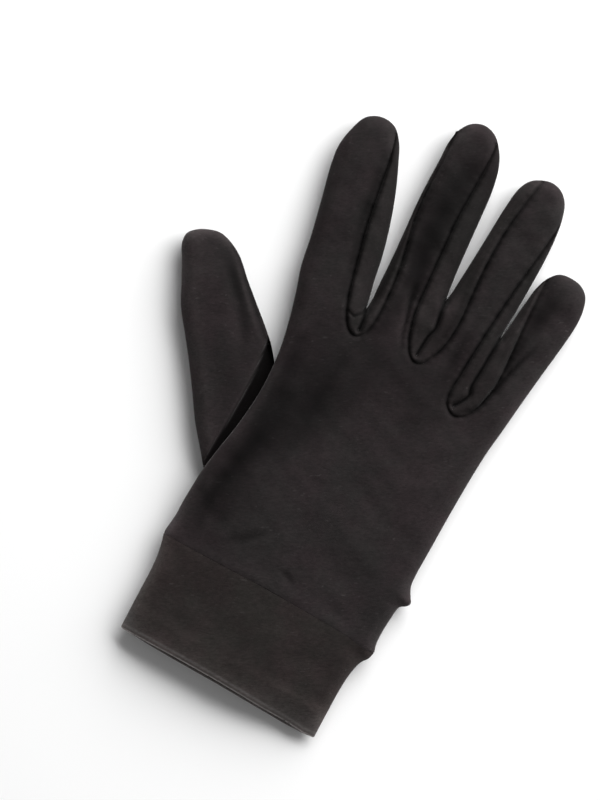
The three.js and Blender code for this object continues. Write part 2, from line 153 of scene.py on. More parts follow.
# Folds and hollows in the cloth. Each is a chain of places with its reach to each side and its depth
# there, in millimetres, and how much painted shade lies in it. A depth below zero is a ridge, and a shade
# below zero is painted light, lighter than the flat cloth. The softness is the share of the reach over which a
# fold fades.
FOLD_SOFTNESS = 0.62
FOLD_COLUMNS = ("x", "y", "reach", "depth", "dark")
HAND_FOLDS = {
    "hollow beside the rim": [
        (-38.6, 137, 5, 0.3, 0.25), (-38, 126, 6, 1.0, 0.35), (-37, 114, 7, 1.3, 0.35),
        (-34, 102, 12, 1.6, 0.74), (-34.6, 92, 10.6, 1.8, 0.8), (-37.2, 80, 8.4, 1.7, 0.78),
        (-39, 70, 7, 1.3, 0.66), (-39.6, 60, 6, 1.0, 0.6), (-38.6, 50, 5.4, 0.3, 0.25), (-38, 42, 5, 0, 0),
    ],
    "rim shade": [
        (-38, 128, 3, 0, 0.15), (-37.6, 116, 3.4, 0, 0.2), (-37, 104, 3.8, 0, 0.34),
        (-37.6, 95, 3.6, 0, 0.2),
    ],
    "knuckle hollow": [
        (-30, 146, 12, 0.1, 0.1), (-29, 134, 17, 0.8, 0.38), (-27, 121, 19, 1.1, 0.54),
        (-27, 109, 16, 1.1, 0.5), (-27.4, 98, 11, 0.5, 0.32), (-28, 88, 8, 0.1, 0.2),
    ],
    "knuckle fold": [
        (-20, 138, 6, 0.2, 0.2), (-21, 124, 7, 0.7, 0.42), (-21, 112, 8, 0.8, 0.55),
        (-21, 101, 8, 0.3, 0.42), (-22, 92, 6, 0.1, 0.25),
    ],
    "knuckles": [
        (-40, 150, 14, 0.1, 0.06), (-24, 145, 18, 0.1, 0.22), (0, 144, 18, 0.1, 0.3),
        (18, 145, 16, 0.1, 0.36), (32, 136, 12, 0, 0),
    ],
    "between the knuckles": [
        (-5, 149, 5, 0, 0.12), (1, 148.6, 5, 0, 0.3), (7, 147.4, 5, 0, 0.25), (13, 146, 5, 0, 0.1),
        (20, 142.6, 4.6, 0, 0.2),
    ],
    "palm slope": [
        (-8, 146, 10, 0.1, 0.1), (-12, 132, 12, 0.4, 0.26), (-13, 118, 10, 0.4, 0.26),
        (-15, 106, 9, 0.1, 0.25), (-15, 97, 8, 0.1, 0.15),
    ],
    "lower hollow": [
        (-32, 76, 6, 0.4, 0.25), (-34, 66, 6, 0.4, 0.3), (-33, 56, 6, 0.3, 0.2), (-30, 48, 5, 0.1, 0.1),
    ],
    "short crease": [
        (-26, 50, 3.4, 0.3, 0.1), (-20.5, 54, 3.4, 0.7, 0.3), (-16, 58.6, 3.2, 0.6, 0.25),
        (-12, 62, 3, 0, 0),
    ],
    "dimple": [(1.4, 51, 2.6, 0.5, 0.3), (4.6, 49.6, 2.6, 0.5, 0.2)],
    "rim": [
        (-42, 132, 2.6, -0.2, 0), (-41.6, 112, 2.6, -0.4, 0), (-42.6, 90, 2.6, -0.4, 0),
        (-44.6, 66, 2.6, -0.4, 0),
    ],
    "middle finger hollow": [
        (-10, 238, 6, 0.2, 0.12), (-11, 229, 10, 0.7, 0.5), (-13.4, 220, 12.6, 1.1, 0.64),
        (-14, 212, 13, 1.4, 0.74), (-14, 204, 11.6, 1.5, 0.78), (-13.4, 196, 9.2, 1.5, 0.8),
        (-12, 188, 8.2, 1.5, 0.84), (-9.8, 180, 6.6, 1.3, 0.82), (-8, 172, 4, 0.8, 0.6),
        (-7.4, 167, 3, 0.2, 0.1),
    ],
    "middle finger ridge": [
        (-19.4, 196, 2, 0, 0), (-17.2, 186, 1.8, -0.4, 0), (-14.6, 172, 2, -0.4, 0),
        (-12, 160, 2.4, -0.2, 0),
    ],
    "middle finger root": [
        (-12.8, 182, 5, 0, 0.25), (-12.2, 174, 5, 0.1, 0.36), (-11.6, 166, 6, 0.2, 0.5),
        (-12.4, 158, 6, 0.5, 0.5), (-13.8, 150, 7, 0.3, 0.2), (-18, 142, 8, 0.1, 0.1),
    ],
    "pleat": [
        (-9.4, 177, 1.6, 0.2, 0.2), (-8.2, 171, 1.5, 1.0, 0.7), (-6, 164, 1.3, 1.1, 0.6),
        (-4.2, 157, 1.2, 0.9, 0.45), (-1.8, 152.2, 1.2, 0.3, 0.2),
    ],
    "little finger crease": [
        (45.4, 181, 1.6, 0.1, 0.1), (42.6, 172, 1.6, 1.1, 0.7), (40.4, 164, 1.6, 1.5, 0.85),
        (38.9, 156, 1.7, 1.5, 0.8), (36.6, 148, 1.7, 0.6, 0.4),
    ],
    "little finger valley": [
        (38.4, 208, 3, 0.1, 0.1), (38.6, 198, 3, 0.7, 0.4), (39, 188, 3.6, 1.0, 0.6),
        (39.2, 178, 3.2, 0.8, 0.6), (38.8, 166, 2.6, 0.4, 0.4),
    ],
    "little finger hollow": [
        (42.6, 204, 4, 0.3, 0.1), (42, 196, 4.6, 0.9, 0.6), (41.6, 188, 4.2, 0.8, 0.55),
        (42, 180, 3.4, 0.3, 0.2),
    ],
    "index valley": [
        (-44, 218, 3, 0.2, 0.15), (-43, 206, 4, 0.9, 0.56), (-40.8, 192, 4, 0.8, 0.62),
        (-37.6, 179, 3.4, 0.5, 0.3), (-34, 166, 3, 0.3, 0.1),
    ],
    "wall fold": [
        (-27.4, 155, 0.9, 0.3, 0.3), (-24.8, 154, 0.9, 0.8, 0.6), (-22.6, 156.6, 0.9, 0.7, 0.7),
        (-21.9, 161, 0.9, 0.4, 0.3),
    ],
    "ring finger dent": [(27, 230, 2.6, 0.2, 0.1), (27.8, 221, 3, 0.6, 0.3), (28, 212, 2.6, 0.2, 0.1)],
    "ring root": [
        (19.6, 182, 4, 0.1, 0.1), (18.6, 170, 4, 0.6, 0.3), (18.4, 160, 4, 0.8, 0.6),
        (18.6, 150, 4, 0.3, 0.3), (18, 143, 4, 0, 0),
    ],
    "crotch pull": [(30.6, 141, 1.6, 0.2, 0.2), (34.6, 144, 1.6, 0.6, 0.5), (37.4, 149, 1.4, 0.4, 0.3)],
    "index back": [
        (-53, 224, 12, 0, 0.16), (-49, 206, 12, 0, 0.1), (-44, 192, 10, 0, 0.16), (-39, 176, 8, 0, 0.22),
        (-37, 163, 6, 0, 0.16),
    ],
    "middle back": [(-15, 240, 9, 0, 0.14), (-11, 226, 6, 0, 0.25), (-9.6, 214, 4, 0, 0.15)],
    "ring back": [
        (21.6, 233, 7.4, 0, 0.32), (23, 220, 9, 0, 0.14), (21, 206, 8, 0, 0.2), (22, 192, 7, 0, 0.1),
        (20, 182, 6, 0, 0),
    ],
    "little back": [(49, 200, 8, 0, 0.06), (49, 186, 8, 0, 0.08), (47, 172, 8, 0, 0.08)],
    "above the cuff seam": [
        (-18, 45, 5, 0, -0.12), (0, 45.6, 5, 0, -0.3), (20, 45.4, 6, 0, -0.34), (34, 44.6, 5, 0, -0.24),
    ],
    "beside the hem": [
        (0, 11, 7, 0, -0.06), (14, 12, 9, 0, -0.36), (28, 12, 9, 0, -0.6), (37, 12, 7, 0, -0.3),
    ],
    "ring wall shade": [
        (10.6, 190, 2.5, 0, 0.2), (11.4, 180, 3, 0, 0.5), (12, 172, 3, 0, 0.42), (11, 164, 3, 0, 0.28),
    ],
    "index crotch shade": [
        (-20.4, 188, 2, 0, 0.2), (-20.2, 177, 2.2, 0, 0.4), (-20.6, 167, 2.4, 0, 0.6),
        (-21, 158, 2.4, 0, 0.35),
    ],
    "middle wall shade": [(4.6, 186, 2.4, 0, 0.3), (4.6, 178, 2.6, 0, 0.4), (3.4, 171, 2.4, 0, 0.2)],
    "middle left hollow": [
        (-16.6, 204, 3, 0, 0.1), (-16.4, 196, 3, 0, 0.4), (-16.2, 188, 2.8, 0, 0.38),
        (-13.8, 182, 2.6, 0, 0.4), (-13, 175, 2.4, 0, 0.3),
    ],
    "middle root light": [
        (-16.6, 180, 1.8, 0, -0.1), (-16.4, 173, 2, 0, -0.35), (-16.2, 166, 2, 0, -0.3),
        (-16, 160, 2, 0, -0.1),
    ],
    "middle flank": [
        (-19.6, 243, 3.6, 0, -0.6), (-24.4, 233, 2.8, 0, -0.6), (-23.4, 222, 2.4, 0, -0.3),
        (-22.8, 206, 2.2, 0, -0.3),
    ],
    "ring flank": [
        (12, 236.4, 4, 0, -0.6), (8.4, 227, 2.8, 0, -0.45), (7.8, 214, 2.4, 0, -0.35),
        (7.8, 200, 2.4, 0, -0.2),
    ],
    "index seam shade": [
        (-36.8, 181, 2.5, 0, 0.3), (-35.6, 172, 3, 0, 0.34), (-33.6, 165, 3, 0, 0.34),
        (-31.4, 158, 2.6, 0, 0.2),
    ],
    "palm slack": [(10, 138, 10, 0.1, 0.1), (15, 125, 10, 0.4, 0.22), (20, 110, 10, 0.1, 0.05)],
    "side slack": [(14, 66, 9, 0.2, 0), (26, 62, 9, 0.4, 0), (38, 60, 8, 0.1, 0)],
    "left pull": [(-43, 38, 5, 0.4, 0), (-36, 33, 5, 0.2, 0.05)],
    "right pull": [(36, 38, 5, 0.3, 0), (42, 37, 5, 0.8, 0), (46, 37, 4, 0.4, 0)],
    "cuff slack": [
        (-30, 30, 9, 0.2, 0.05), (-10, 22, 9, 0.3, 0.05), (10, 20, 8, 0.1, 0.05), (32, 26, 8, 0.3, 0),
    ],
}
THUMB_FOLDS = {
    "band": [
        (-80, 152, 3, 0.2, 0.2), (-75, 145, 3.6, 0.9, 0.5), (-67.4, 137, 4, 1.0, 0.45),
        (-60.6, 128, 4, 0.8, 0.35), (-56, 119, 4, 0.1, 0.1),
    ],
    "root": [(-60, 108, 6, 0.3, 0), (-53, 96, 6, 0.3, 0)],
    "seam ridge": [
        (-77.4, 151, 1, 0, -0.2), (-69.8, 144.1, 1.1, -0.1, -0.7), (-61.8, 136.3, 1.1, -0.1, -0.7),
        (-54, 128.9, 1, 0, -0.4),
    ],
    "end shade": [(-81, 151, 5, 0, 0.16), (-76, 146, 5, 0, 0.16), (-71, 142, 4, 0, 0.1)],
    "flank": [(-73, 151, 5, 0, 0.16), (-64, 141, 4, 0, 0.24), (-55, 131, 4, 0, 0.3)],
    "seam side": [
        (-87, 154, 7, 0, 0.2), (-77, 147.6, 8, 0, 0.4), (-68, 139.6, 7, 0, 0.34), (-60, 133, 7, 0, 0.25),
        (-53, 127, 6, 0, 0.3), (-48.5, 122, 5, 0, 0.3),
    ],
}

# Painted highlights, for light along the round edges and the hem. Each row says what it lies beside, how
# much it is there, how far it reaches, and the spans of x and y over which it comes in: a start and a
# length, which runs the other way below zero.
HAND_HIGHLIGHTS = (
    {"beside": "edge", "amount": 0.1, "reach": 2.6},
    {"beside": "edge", "amount": 0.3, "reach": 2.6, "y": (200, -60)},
    {"beside": "edge", "amount": 0.55, "reach": 2.2, "x": (-30, -8), "y": (84, 10), "y_end": (136, -12)},
    {"beside": "edge", "amount": 1.8, "reach": 3.2, "x": (0, -20), "y": (72, -26)},
    {"beside": "edge", "amount": 0.4, "reach": 9, "x": (0, -20), "y": (72, -26)},
    {"beside": "hem", "amount": 1.8, "reach": 7.5},
    {"beside": "hem band", "amount": 1.35, "reach": 6.5, "x": (2, 28)},
    {"beside": "hem band", "amount": 0.8, "reach": 5, "x": (-34, -8)},
    {"beside": "hem band", "amount": 0.25, "reach": 5},
)
THUMB_HIGHLIGHTS = (
    {"beside": "outer side", "amount": 1, "reach": 6},
    {"beside": "edge", "amount": 0.7, "reach": 2.4, "x": (-78, -6), "y": (126, 12)},
)

# The worn cloth's slow rise and fall, as wavelengths and heights, and the spacings of a seam's gathers
SWELLS = ((46, 0.16), (29, 0.12), (19, 0.08), (12, 0.045), (8, 0.025))
GATHER_SPACINGS = (3.1, 4.7, 7.3)

# How strongly the cuff's and the thumb's seams draw in and how dark their painted shade is, beside the finger
# walls' seams
CUFF_SEAM_STRENGTH = 0.06
THUMB_SEAM_STRENGTH = 0.85

# The walls' painted tone beside the open gaps: painted shade on their down sides and painted light on their up
# sides, and how far it reaches
GAP_SHADE_AND_LIGHT = (0.4, -0.3)
GAP_REACH = 4

# Values that the cloth carries for its material, its painted shade and its painted highlight, and its
# underside's height while it is built. The painted shade runs from the lightest, which is painted light,
# to one, which is darkest.
SHADE_ATTRIBUTE = "painted_shade"
HIGHLIGHT_ATTRIBUTE = "painted_highlight"
UNDERSIDE = "underside_height"
LIGHTEST = -0.6

# Mesh sizes: a panel is a grid of cells, halved in a band along its edge, where the outermost rows crowd
# together. A face may reach over the outline by a share of a cell.
CELL = 1.0
FINE_BAND = 3.2
CROWDED = 2.6
CUT_BEYOND = 0.28
SEAM_ALLOWANCE = 1.1
WALL_ROWS = 170
WALL_COLUMNS = 22
STEP = 0.8
CREASE_STEP = 0.5
RASTER_STEP = 1.0
RELAX_ROUNDS = 900

# The jersey: its knit's angle over the hand, how strongly its layers show, and the tints of its colour
COURSE_TURN = 0.511
KNIT_FUZZ = 0.85
NAP_AMOUNT = 0.55
FLECK_AMOUNT = 0.5
FLECK_COLOUR = (0.075, 0.068, 0.068, 1)
SHEEN_TINT = (0.95, 0.92, 0.92, 1)
# How far the painted shade and painted light scale the colour, how strongly the painted highlight lightens it,
# and over which range of it the colour turns to the painted highlight's tint
LIT_RANGE = (1.564, 0.06)
HIGHLIGHT_GAIN = 1.1
PLAIN_RANGE = (0.8, 4.0)
TINTS = {"cooler": (0.95, 1.03, 0.99), "warmer": (1.04, 0.98, 1.0), "painted_light": (0.9, 1.02, 1.02)}


def millimetres(label, what, default, low, high):
    what += ", in millimetres"
    return FloatProperty(name=label, description=what, default=default, min=low, max=high)


def cloth_colour(label, what, default):
    return FloatVectorProperty(
        name=label, description=what, subtype="COLOR", size=3, default=default, min=0, max=1
    )


class GloveForm(PropertyGroup):
    """How the cloth fills out, how thick it is and how its seams draw in."""

    edge_round: millimetres("Edge Rounding", "Reach of the round edge", 5.2, 1, 12)
    finger_half: millimetres("Edge Half Height", "Half height close to an edge", 3.0, 1, 8)
    palm_half: millimetres("Extra Half Height", "Added half height far from edges", 2.9, 0, 8)
    middle_height: millimetres("Middle Height", "Height of the widest line above the floor", 4.9, 2, 10)
    thumb_lift: millimetres("Thumb Lift", "How far the thumb lifts the hand's underside", 6.0, 0, 10)
    seam_depth: millimetres("Seam Depth", "Depth of the groove at a seam", 1.5, 0, 3)
    seam_width: millimetres("Seam Width", "Half width of the groove at a seam", 0.7, 0.1, 3)
    pucker: millimetres("Pucker", "Height of the small gathers beside a seam", 0.12, 0, 1)
    band_thickness: millimetres("Band Thickness", "Thickness of the folded cuff band", 1.7, 0.5, 3)


class GloveCloth(PropertyGroup):
    """Colours and finish of the brushed stretch jersey."""

    hand_colour: cloth_colour("Hand Cloth", "Colour of the hand and thumb", (0.0172, 0.0140, 0.0145))
    wall_colour: cloth_colour(
        "Finger Wall Cloth", "Colour of the walls between the fingers", (0.0144, 0.0121, 0.0122)
    )
    cuff_colour: cloth_colour("Cuff Cloth", "Colour of the cuff band", (0.0182, 0.0147, 0.0142))
    wale_spacing: millimetres("Wale Spacing", "Distance between the knit's fine ribs", 0.42, 0.1, 2)


class StageLook(PropertyGroup):
    """The pale floor and the soft light."""

    key_energy: FloatProperty(
        name="Key Energy", description="Power of the main soft light", default=146.0, min=0, unit="POWER"
    )
    low_fill: FloatProperty(
        name="Low Fill", description="Strength of the light from low down all round", default=3.0, min=0
    )
    high_fill: FloatProperty(
        name="High Fill", description="Strength of the light from overhead", default=0.18, min=0
    )


def smooth_step(t):
    t = np.clip(t, 0, 1)
    return t * t * (3 - 2 * t)


def rise(value, start, span):
    """From zero at the start to one where the span ends. A span below zero runs the other way."""
    return smooth_step((value - start) / span)


def bell(distance, reach):
    """One at no distance, fading away over the reach."""
    return np.exp(-((distance / reach) ** 2))


def blend(first, second, u, low, high):
    """From the first at the low mark to the second at the high one."""
    return (high - u) / (high - low) * first + (u - low) / (high - low) * second


def spline(points, step=STEP):
    """A smooth line through the points, cut into steps of nearly one length."""
    p = np.array(points, float)
    p = np.vstack([2 * p[0] - p[1], p, 2 * p[-1] - p[-2]])
    line = []
    for corners in zip(p[:-3], p[1:-2], p[2:-1], p[3:]):
        gaps = [max(math.dist(*pair), 1e-6) for pair in zip(corners[:-1], corners[1:])]
        marks = np.cumsum([0] + [gap**0.5 for gap in gaps])
        count = max(2, int(gaps[1] / step * 4))
        t = np.linspace(0, 1, count, endpoint=False)[:, None]
        u = marks[1] + t * (marks[2] - marks[1])
        sides = [blend(corners[k], corners[k + 1], u, marks[k], marks[k + 1]) for k in range(3)]
        halves = [blend(sides[k], sides[k + 1], u, marks[k], marks[k + 2]) for k in range(2)]
        line.append(blend(*halves, u, marks[1], marks[2]))
    dense = np.vstack(line + [p[-2:-1]])
    return resample(dense, max(2, int(round(length_of(dense) / step))))


def length_of(line):
    return float(np.linalg.norm(np.diff(line, axis=0), axis=1).sum())


def marks_along(line):
    """How far along the line each of its points is."""
    return np.concatenate([[0], np.cumsum(np.linalg.norm(np.diff(line[:, :2], axis=0), axis=1))])


def resample(line, count):
    """The line as count equal steps."""
    along = marks_along(line)
    wanted = np.linspace(0, along[-1], count + 1)
    return np.stack([np.interp(wanted, along, line[:, k]) for k in range(line.shape[1])], axis=1)


def nearest_on(points, line):
    """For each point: its distance to the line, the nearest place on it, and how far along that is."""
    tree = KDTree(len(line))
    for k, (x, y) in enumerate(line):
        tree.insert((x, y, 0), k)
    tree.balance()
    nearest = np.array([tree.find((x, y, 0))[1] for x, y in points], int)
    marks = marks_along(line)
    best = None
    for first in (nearest - 1, nearest):
        first = np.clip(first, 0, len(line) - 2)
        start, step = line[first], line[first + 1] - line[first]
        square = np.maximum((step * step).sum(1), 1e-12)
        share = np.clip(((points - start) * step).sum(1) / square, 0, 1)
        place = start + share[:, None] * step
        distance = np.linalg.norm(points - place, axis=1)
        along = marks[first] + share * np.sqrt(square)
        if best is None:
            best = (distance, place, along)
        else:
            closer = distance < best[0]
            best = (
                np.where(closer, distance, best[0]),
                np.where(closer[:, None], place, best[1]),
                np.where(closer, along, best[2]),
            )
    return best


def is_inside(points, polygon):
    """Whether each point lies inside the closed polygon."""
    a = polygon
    b = np.roll(polygon, -1, axis=0)
    inside = np.zeros(len(points), bool)
    rows, which = np.unique(points[:, 1], return_inverse=True)
    order = np.argsort(which, kind="stable")
    ends = np.searchsorted(which[order], np.arange(len(rows) + 1))
    for k, y in enumerate(rows):
        crossing = (a[:, 1] > y) != (b[:, 1] > y)
        p, q = a[crossing], b[crossing]
        at = np.sort(p[:, 0] + (y - p[:, 1]) * (q[:, 0] - p[:, 0]) / (q[:, 1] - p[:, 1]))
        mine = order[ends[k] : ends[k + 1]]
        inside[mine] = (len(at) - np.searchsorted(at, points[mine, 0])) % 2 == 1
    return inside


def cut_line(line, start, end):
    """The stretch of a line between the places nearest to two points."""
    along = nearest_on(np.array([start, end], float), line)[2]
    marks = marks_along(line)
    inner = (marks > along[0] + 0.1) & (marks < along[1] - 0.1)
    ends = [np.array([[np.interp(s, marks, line[:, k]) for k in range(2)]]) for s in along]
    return np.vstack([ends[0], line[inner], ends[1]])


class Fullness:
    """How far cloth inside an outline fills out: nothing at the edge and one deep inside."""

    SPREAD = 8.0

    def __init__(self, polygon):
        self.low = polygon.min(0) - 2
        high = polygon.max(0) + 2
        self.shape = tuple(int(n) + 2 for n in (high - self.low) / RASTER_STEP)
        xs = self.low[0] + np.arange(self.shape[0]) * RASTER_STEP
        ys = self.low[1] + np.arange(self.shape[1]) * RASTER_STEP
        points = np.stack(np.meshgrid(xs, ys, indexing="ij"), axis=2).reshape(-1, 2)
        inside = is_inside(points, polygon).reshape(self.shape)
        drag = (RASTER_STEP / self.SPREAD) ** 2
        field = np.zeros(self.shape)
        for _ in range(RELAX_ROUNDS):
            around = (
                np.roll(field, 1, 0) + np.roll(field, -1, 0) + np.roll(field, 1, 1) + np.roll(field, -1, 1)
            )
            field = np.where(inside, (around + drag) / (4 + drag), 0)
        self.field = field

    def at(self, points):
        g = (points - self.low) / RASTER_STEP
        i = np.clip(g.astype(int), 0, np.array(self.shape) - 2)
        f = np.clip(g - i, 0, 1)
        v = self.field
        near = v[i[:, 0], i[:, 1]] * (1 - f[:, 0]) + v[i[:, 0] + 1, i[:, 1]] * f[:, 0]
        far = v[i[:, 0], i[:, 1] + 1] * (1 - f[:, 0]) + v[i[:, 0] + 1, i[:, 1] + 1] * f[:, 0]
        return near * (1 - f[:, 1]) + far * f[:, 1]


def chain_effect(points, chain, column):
    """One column of a chain of places, faded with the distance from the chain."""
    effect = np.zeros(len(points))
    line = resample(np.array(chain, float), 6 * len(chain))
    reach = line[:, FOLD_COLUMNS.index("reach")]
    low = line[:, :2].min(0) - 2 * reach.max()
    high = line[:, :2].max(0) + 2 * reach.max()
    near = ((points > low) & (points < high)).all(1)
    if near.any():
        distance, _, along = nearest_on(points[near], line[:, :2])
        marks = marks_along(line)
        amount = np.interp(along, marks, line[:, FOLD_COLUMNS.index(column)])
        effect[near] = amount * bell(distance, FOLD_SOFTNESS * np.interp(along, marks, reach))
    return effect


def fold_depth(points, folds):
    """How far the folds of a table press the cloth in at each point."""
    return sum(chain_effect(points, chain, "depth") for chain in folds.values())


def fold_darkness(points, folds):
    """How much painted shade lies in the folds. Below zero it is painted light, lighter than the flat cloth.
    """
    light = np.ones(len(points))
    for chain in folds.values():
        light *= 1 - chain_effect(points, chain, "dark")
    return 1 - light


def unevenness(points, seed):
    """The slow, irregular rise and fall of cloth that has been worn and laid down."""
    random = np.random.default_rng(seed)
    x, y = points.T
    total = np.zeros(len(points))
    for wavelength, height in SWELLS:
        for _ in range(4):
            turn = random.uniform(0, 2 * math.pi)
            phase = random.uniform(0, 2 * math.pi)
            wave = 2 * math.pi / (wavelength * random.uniform(0.8, 1.25))
            total += height * np.sin(wave * (x * math.cos(turn) + y * math.sin(turn)) + phase)
    return total


def pucker_wave(along, seed):
    """Small gathers along a seam, uneven in spacing and height."""
    random = np.random.default_rng(seed)
    total = np.zeros(len(along))
    for spacing in GATHER_SPACINGS:
        phase = random.uniform(0, 2 * math.pi)
        total += np.sin(2 * math.pi * along / spacing + phase + 0.9 * np.sin(along / 9.0 + phase))
    return total / len(GATHER_SPACINGS)


class HandShape:
    """The height and the tone of the hand's cloth at any place inside its outline."""

    FOLDS = HAND_FOLDS
    HIGHLIGHTS = HAND_HIGHLIGHTS
    SEED = 11
    SUNK = 0.0

    # How soon grooves and folds come in over the round edge, and the underside's shares of the half
    # height and of a groove
    GROOVE_START = 1.4
    FOLD_START = 1.2
    UNDERSIDE_SHARE = 1.25
    UNDERSIDE_GROOVE = 0.8

    # The thumb's lift runs out over this span of x, and the middle takes up a share of it.
    LIFT_SPAN = (-47, 46)
    MIDDLE_LIFT = 0.45

    # A seam draws in less round its lowest turn. Its groove has a sharp part, a slope beside it and a ridge.
    TURN_EASE = 0.45
    TURN_REACH = 10
    SHARP_SHARE = 0.7
    SLOPE_SHARE = 0.3
    SLOPE_REACH = 2.8
    WALL_SLOPE_REACH = 1.2
    RIDGE_SHARE = 0.1
    RIDGE_PLACE = 2.0
    RIDGE_REACH = 1.0
    GATHER_REACH = 3.2
    CREASE_DEPTH = 1.7
    CREASE_WIDTH = 1.1

    # A seam's line of painted shade, as its reach and its tone, and the soft painted shade beside it, as its
    # share and reach
    LINE_REACH = 0.8
    LINE_TONE = 0.86
    LINE_SWAY = 0.26
    END_TONE = 0.3
    END_LENGTH = 36
    SOFT_SHADE = (0.34, 2.6)
    WALL_SOFT_SHADE = (0.1, 1.4)
    CREASE_SHADE = 0.95

    # A crease's line of painted shade: its half width, how much wider it is where it opens, over which
    # length, and how much it sways
    CREASE_HALF = 0.75
    CREASE_WIDENING = 0.45
    CREASE_OPENING = 12
    CREASE_SWAY = 0.2

    # By the hem the cloth loses a share of its half height and drops. The rows are x, share and drop.
    HEM_SPAN = (11, -12)
    HEM_ROWS = (
        (-45, 0.45, 1.3), (-36, 0.34, 0.9), (-28, 0.26, 0.6), (5, 0.26, 0.6), (20, 0.42, 1.2),
        (32, 0.6, 2.0), (43, 0.6, 2.1),
    )
    HEM_BAND_Y = 5

    # The palm and the cuff are less uneven than the fingers: the share taken off, and its span of y
    CALM_ROWS = ((0.4, 150, -18), (0.25, 46, -6))

    def __init__(self, form, edge, seams, creases=()):
        self.form = form
        self.edge = edge
        self.seams = seams
        self.creases = creases
        self.fullness = Fullness(edge)

    def edge_distance(self, points):
        distance = nearest_on(points, self.edge)[0]
        return np.where(distance < 0.02, 0, distance)

    def lift(self, points):
        """The share of the thumb's lift under each point."""
        ys, shares = zip(*LIFT_ROWS)
        return np.interp(points[:, 1], ys, shares) * (1 - rise(points[:, 0], *self.LIFT_SPAN))

    def ease(self, seam, along):
        """How much the seam draws in, which is less round its lowest turn."""
        lowest = marks_along(seam)[seam[:, 1].argmin()]
        return 1 - self.TURN_EASE * bell(along - lowest, self.TURN_REACH)

    def grooves(self, points, slope_reach):
        """The draw-in beside the seams, with its small puckers."""
        depth = np.zeros(len(points))
        for k, (seam, strength) in enumerate(self.seams):
            distance, _, along = nearest_on(points, seam)
            profile = self.SHARP_SHARE * bell(distance, self.form.seam_width)
            profile += self.SLOPE_SHARE * bell(distance, slope_reach)
            profile -= self.RIDGE_SHARE * bell(distance - self.RIDGE_PLACE, self.RIDGE_REACH)
            drawn = self.form.seam_depth * self.ease(seam, along) * profile
            gathers = self.form.pucker * pucker_wave(along, self.SEED + k) * bell(distance, self.GATHER_REACH)
            depth += strength * (drawn + gathers)
        for crease in self.creases:
            depth += self.CREASE_DEPTH * bell(nearest_on(points, crease)[0], self.CREASE_WIDTH)
        return depth

    def painted_shade_tone(self, points, on_wall=False):
        """Painted shade: one deep in a seam or a crease, less where the cloth is pressed in, and below zero
        painted light.
        """
        deep = np.zeros(len(points))
        soft, reach = self.WALL_SOFT_SHADE if on_wall else self.SOFT_SHADE
        for k, (seam, strength) in enumerate(self.seams):
            distance, _, along = nearest_on(points, seam)
            end = np.minimum(along, length_of(seam) - along)
            tone = self.LINE_TONE + self.LINE_SWAY * pucker_wave(0.6 * along, self.SEED + 5 * k)
            tone *= self.END_TONE + (1 - self.END_TONE) * smooth_step(end / self.END_LENGTH)
            tone *= self.ease(seam, along)
            dark = (1 - soft) * bell(distance, self.LINE_REACH) + soft * bell(distance, reach)
            deep = np.maximum(deep, strength * tone * dark)
        for k, crease in enumerate(self.creases):
            distance, _, along = nearest_on(points, crease)
            width = self.CREASE_HALF + self.CREASE_SWAY * pucker_wave(along, k)
            width += self.CREASE_WIDENING * smooth_step(1 - along / self.CREASE_OPENING)
            deep = np.maximum(deep, self.CREASE_SHADE * bell(distance, width))
        folded = fold_darkness(points, self.FOLDS)
        return np.clip(1 - (1 - deep) * (1 - folded), LIGHTEST, 1)

    def beside(self, points):
        """The distances to what the painted highlights lie beside."""
        y = points[:, 1]
        return {"edge": self.edge_distance(points), "hem": np.maximum(y, 0), "hem band": y - self.HEM_BAND_Y}

    def fade(self, points):
        """How much painted highlight lies on the cloth, most of all at the hem."""
        distances = self.beside(points)
        x, y = points.T
        total = np.zeros(len(points))
        for row in self.HIGHLIGHTS:
            pale = row["amount"] * bell(distances[row["beside"]], row["reach"])
            for places, span in ((x, "x"), (y, "y"), (y, "y_end")):
                if span in row:
                    pale = pale * rise(places, *row[span])
            total += pale
        return total

    def half_height(self, points):
        """How round the cloth has become from its edge inwards, and its half height."""
        near = np.clip(self.edge_distance(points) / self.form.edge_round, 0, 1)
        rounded = np.sqrt(1 - (1 - near) ** 2)
        full = self.form.finger_half + self.form.palm_half * self.fullness.at(points)
        return rounded, rounded * full

    def heights(self, points, on_wall=False):
        """Top and bottom heights in millimetres."""
        x, y = points.T
        rounded, half = self.half_height(points)
        by_hem = rise(y, *self.HEM_SPAN)
        places, falls, drops = zip(*self.HEM_ROWS)
        half *= 1 - np.interp(x, places, falls) * by_hem
        bed = self.form.thumb_lift * self.lift(points)
        middle = self.form.middle_height - self.SUNK + self.MIDDLE_LIFT * bed
        middle = middle - np.interp(x, places, drops) * by_hem
        inward = self.grooves(points, self.WALL_SLOPE_REACH if on_wall else self.SLOPE_REACH)
        inward *= np.minimum(1, rounded * self.GROOVE_START)
        calm = 1 - sum(share * rise(y, start, span) for share, start, span in self.CALM_ROWS)
        relief = fold_depth(points, self.FOLDS) - calm * unevenness(points, self.SEED)
        top = middle + half - inward - relief * np.minimum(1, rounded * rounded * self.FOLD_START)
        bottom = np.maximum(middle - self.UNDERSIDE_SHARE * half, np.minimum(bed, middle))
        return top, bottom + self.UNDERSIDE_GROOVE * inward


